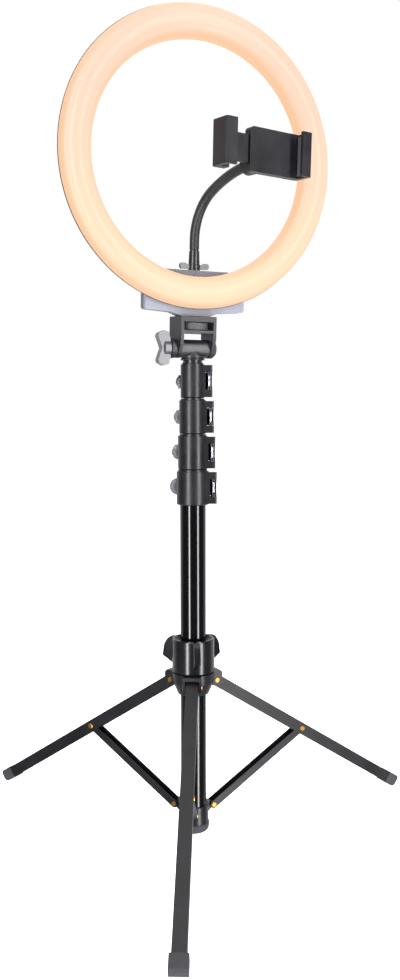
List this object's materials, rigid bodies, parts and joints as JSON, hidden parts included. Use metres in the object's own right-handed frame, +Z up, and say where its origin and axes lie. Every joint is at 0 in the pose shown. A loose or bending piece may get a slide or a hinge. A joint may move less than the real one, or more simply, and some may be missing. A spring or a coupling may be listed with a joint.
{
  "type": "ring light on telescopic tripod",
  "caption": "Warm ring light with a gooseneck phone clamp, on a tilting bracket and a telescopic column with flip locks and folding tripod legs.",
  "frame": {"origin": "centre of the column's bottom cap, on the floor", "axes": "+Z up the column; the ring faces -Y; +X to the right as seen from the front"},
  "size_m": [0.3734, 0.4161, 0.7321],
  "materials": {
    "tube_gloss": "gloss black enamel",
    "lock_plastic": "satin black nylon",
    "steel_pin": "bright zinc plated",
    "lever_plastic": "satin black nylon",
    "knob_plastic": "semi-gloss black",
    "hub_plastic": "satin black nylon",
    "rivet_brass": "dull brass",
    "leg_metal": "matte black powder coat",
    "foot_rubber": "matte dark grey",
    "bush_plastic": "grey acetal",
    "spigot_metal": "satin black",
    "barrel_plastic": "satin black nylon",
    "bracket_plastic": "matte dark grey nylon",
    "tilt_knob_plastic": "satin grey",
    "thumbwheel_plastic": "matte black",
    "shell_plastic": "satin black ABS",
    "led_board": "lit warm white",
    "diffuser": "lit opal acrylic, warm white",
    "housing_front_plastic": "satin light grey",
    "housing_back_plastic": "matte dark grey",
    "socket_plastic": "matte black",
    "arm_base_metal": "satin black",
    "gooseneck_sleeve": "matte black sleeve",
    "ball_nut_plastic": "satin black",
    "clamp_plastic": "satin black ABS",
    "pad_rubber": "matte dark grey"
  },
  "bodies": {
    "column": {"column_tube": "tube_gloss", "lock_collar_1": "lock_plastic", "lock_hardware_1": "steel_pin", "brace_collar": "hub_plastic", "column_end_cap": "hub_plastic"},
    "section_2": {"section_tube_2": "tube_gloss", "section_bush_2": "bush_plastic", "lock_collar_2": "lock_plastic", "lock_hardware_2": "steel_pin"},
    "section_3": {"section_tube_3": "tube_gloss", "section_bush_3": "bush_plastic", "lock_collar_3": "lock_plastic", "lock_hardware_3": "steel_pin"},
    "section_4": {"section_tube_4": "tube_gloss", "section_bush_4": "bush_plastic", "lock_collar_4": "lock_plastic", "lock_hardware_4": "steel_pin"},
    "section_5": {"section_tube_5": "tube_gloss", "section_bush_5": "bush_plastic", "head_spigot": "spigot_metal"},
    "lever_1": {"lock_lever_1": "lever_plastic"},
    "lever_2": {"lock_lever_2": "lever_plastic"},
    "lever_3": {"lock_lever_3": "lever_plastic"},
    "lever_4": {"lock_lever_4": "lever_plastic"},
    "hub": {"leg_hub": "hub_plastic", "hub_rivets": "rivet_brass"},
    "knob": {"hub_knob": "knob_plastic"},
    "leg_body_1": {"leg_1": "leg_metal", "foot_cap_1": "foot_rubber"},
    "brace_body_1": {"brace_1": "leg_metal", "brace_rivets_1": "rivet_brass"},
    "leg_body_2": {"leg_2": "leg_metal", "foot_cap_2": "foot_rubber"},
    "brace_body_2": {"brace_2": "leg_metal", "brace_rivets_2": "rivet_brass"},
    "leg_body_3": {"leg_3": "leg_metal", "foot_cap_3": "foot_rubber"},
    "brace_body_3": {"brace_3": "leg_metal", "brace_rivets_3": "rivet_brass"},
    "pan_head": {"tilt_barrel": "barrel_plastic"},
    "ring_head": {"tilt_bracket": "bracket_plastic", "ring_shell": "shell_plastic", "led_board": "led_board", "diffuser": "diffuser", "housing_front": "housing_front_plastic", "housing_back": "housing_back_plastic", "power_socket": "socket_plastic", "neck_base": "arm_base_metal"},
    "tilt_clamp": {"tilt_knob": "tilt_knob_plastic"},
    "stud_wheel": {"thumbwheel": "thumbwheel_plastic"},
    "wing_nut": {"neck_wing_nut": "arm_base_metal"},
    "arm_base": {"neck_sleeve": "arm_base_metal"},
    "arm_1": {"gooseneck_1": "gooseneck_sleeve"},
    "arm_2": {"gooseneck_2": "gooseneck_sleeve"},
    "arm_3": {"gooseneck_3": "gooseneck_sleeve"},
    "ball_nut_body": {"ball_nut": "ball_nut_plastic"},
    "holder": {"clamp_body": "clamp_plastic", "jaw_pad_fixed": "pad_rubber"},
    "jaw": {"clamp_jaw": "clamp_plastic", "jaw_pad_moving": "pad_rubber"}
  },
  "joints": [
    {"name": "hub_slide", "type": "slide", "parent": "column", "child": "hub", "axis": [0, 0, 1], "range_m": [0, 0.1085]},
    {"name": "knob_turn", "type": "hinge", "parent": "hub", "child": "knob", "pos_m": [0, 0, 0.1506], "axis": [0, 0, 1], "range_deg": [-150, 0]},
    {"name": "leg_fold_1", "type": "hinge", "parent": "hub", "child": "leg_body_1", "pos_m": [-0.00911, -0.01836, 0.1411], "axis": [-0.8957, 0.4446, 0], "range_deg": [-54.19, 0]},
    {"name": "brace_fold_1", "type": "hinge", "parent": "leg_body_1", "child": "brace_body_1", "pos_m": [-0.0522, -0.10516, 0.0786], "axis": [-0.8957, 0.4446, 0], "range_deg": [0, 110.14]},
    {"name": "leg_fold_2", "type": "hinge", "parent": "hub", "child": "leg_body_2", "pos_m": [0.02046, 0.00129, 0.1411], "axis": [0.0628, -0.998, 0], "range_deg": [-54.19, 0]},
    {"name": "brace_fold_2", "type": "hinge", "parent": "leg_body_2", "child": "brace_body_2", "pos_m": [0.11717, 0.00737, 0.0786], "axis": [0.0628, -0.998, 0], "range_deg": [0, 110.14]},
    {"name": "leg_fold_3", "type": "hinge", "parent": "hub", "child": "leg_body_3", "pos_m": [-0.01134, 0.01707, 0.1411], "axis": [0.8329, 0.5534, 0], "range_deg": [-54.19, 0]},
    {"name": "brace_fold_3", "type": "hinge", "parent": "leg_body_3", "child": "brace_body_3", "pos_m": [-0.06497, 0.09778, 0.0786], "axis": [0.8329, 0.5534, 0], "range_deg": [0, 110.14]},
    {"name": "section_slide_2", "type": "slide", "parent": "column", "child": "section_2", "axis": [0, 0, 1], "range_m": [0, 0.25]},
    {"name": "section_slide_3", "type": "slide", "parent": "section_2", "child": "section_3", "axis": [0, 0, 1], "range_m": [0, 0.25]},
    {"name": "section_slide_4", "type": "slide", "parent": "section_3", "child": "section_4", "axis": [0, 0, 1], "range_m": [0, 0.25]},
    {"name": "section_slide_5", "type": "slide", "parent": "section_4", "child": "section_5", "axis": [0, 0, 1], "range_m": [0, 0.25]},
    {"name": "lever_flip_1", "type": "hinge", "parent": "column", "child": "lever_1", "pos_m": [0.01722, -0.00767, 0.3196], "axis": [0, 0, 1], "range_deg": [-100, 0]},
    {"name": "lever_flip_2", "type": "hinge", "parent": "section_2", "child": "lever_2", "pos_m": [0.01603, -0.00714, 0.3516], "axis": [0, 0, 1], "range_deg": [-100, 0]},
    {"name": "lever_flip_3", "type": "hinge", "parent": "section_3", "child": "lever_3", "pos_m": [0.01485, -0.00661, 0.3836], "axis": [0, 0, 1], "range_deg": [-100, 0]},
    {"name": "lever_flip_4", "type": "hinge", "parent": "section_4", "child": "lever_4", "pos_m": [0.01366, -0.00608, 0.4156], "axis": [0, 0, 1], "range_deg": [-100, 0]},
    {"name": "head_pan", "type": "hinge", "parent": "section_5", "child": "pan_head", "pos_m": [0, 0, 0.4359], "axis": [0, 0, 1], "continuous": true},
    {"name": "head_tilt", "type": "hinge", "parent": "pan_head", "child": "ring_head", "pos_m": [0, 0, 0.4446], "axis": [1, 0, 0], "range_deg": [-62.9, 87.1]},
    {"name": "tilt_knob_turn", "type": "hinge", "parent": "ring_head", "child": "tilt_clamp", "pos_m": [0, 0, 0.4446], "axis": [1, 0, 0], "range_deg": [-180, 180]},
    {"name": "thumbwheel_spin", "type": "hinge", "parent": "ring_head", "child": "stud_wheel", "pos_m": [0, -0.00096, 0.46358], "axis": [0, -0.0506, 0.9987], "continuous": true},
    {"name": "wing_nut_spin", "type": "hinge", "parent": "ring_head", "child": "wing_nut", "pos_m": [0, -0.0036, 0.51571], "axis": [0, -0.0506, 0.9987], "continuous": true},
    {"name": "arm_twist", "type": "hinge", "parent": "ring_head", "child": "arm_base", "pos_m": [0, -0.00375, 0.5187], "axis": [0, -0.0506, 0.9987], "range_deg": [-40, 15]},
    {"name": "arm_bend", "type": "hinge", "parent": "arm_base", "child": "arm_1", "pos_m": [0, -0.00432, 0.52989], "axis": [0.9603, 0.2786, 0.0141], "range_deg": [-20, 15]},
    {"name": "arm_bend_2", "type": "hinge", "parent": "arm_1", "child": "arm_2", "pos_m": [0.00211, -0.01332, 0.56377], "axis": [0.9603, 0.2786, 0.0141], "range_deg": [-20, 15]},
    {"name": "arm_bend_3", "type": "hinge", "parent": "arm_2", "child": "arm_3", "pos_m": [0.01001, -0.04153, 0.58331], "axis": [0.9603, 0.2786, 0.0141], "range_deg": [-20, 15]},
    {"name": "holder_tilt", "type": "hinge", "parent": "arm_3", "child": "ball_nut_body", "pos_m": [0.01966, -0.07514, 0.59019], "axis": [0.981, 0.194, 0.0098], "range_deg": [-8, 8]},
    {"name": "holder_turn", "type": "hinge", "parent": "ball_nut_body", "child": "holder", "pos_m": [0.01966, -0.07514, 0.59019], "axis": [-0.1942, 0.9797, 0.0496], "range_deg": [-90, 90]},
    {"name": "jaw_slide", "type": "slide", "parent": "holder", "child": "jaw", "axis": [-0.981, -0.194, -0.0098], "range_m": [-0.02, 0.012]}
  ],
  "couplings": [
    {"joint": "leg_fold_1", "follows": "hub_slide", "rad_per_m": -8.7151},
    {"joint": "brace_fold_1", "follows": "hub_slide", "rad_per_m": 17.716},
    {"joint": "leg_fold_2", "follows": "hub_slide", "rad_per_m": -8.7151},
    {"joint": "brace_fold_2", "follows": "hub_slide", "rad_per_m": 17.716},
    {"joint": "leg_fold_3", "follows": "hub_slide", "rad_per_m": -8.7151},
    {"joint": "brace_fold_3", "follows": "hub_slide", "rad_per_m": 17.716},
    {"joint": "arm_bend_2", "follows": "arm_bend", "ratio": 1},
    {"joint": "arm_bend_3", "follows": "arm_bend", "ratio": 1}
  ]
}
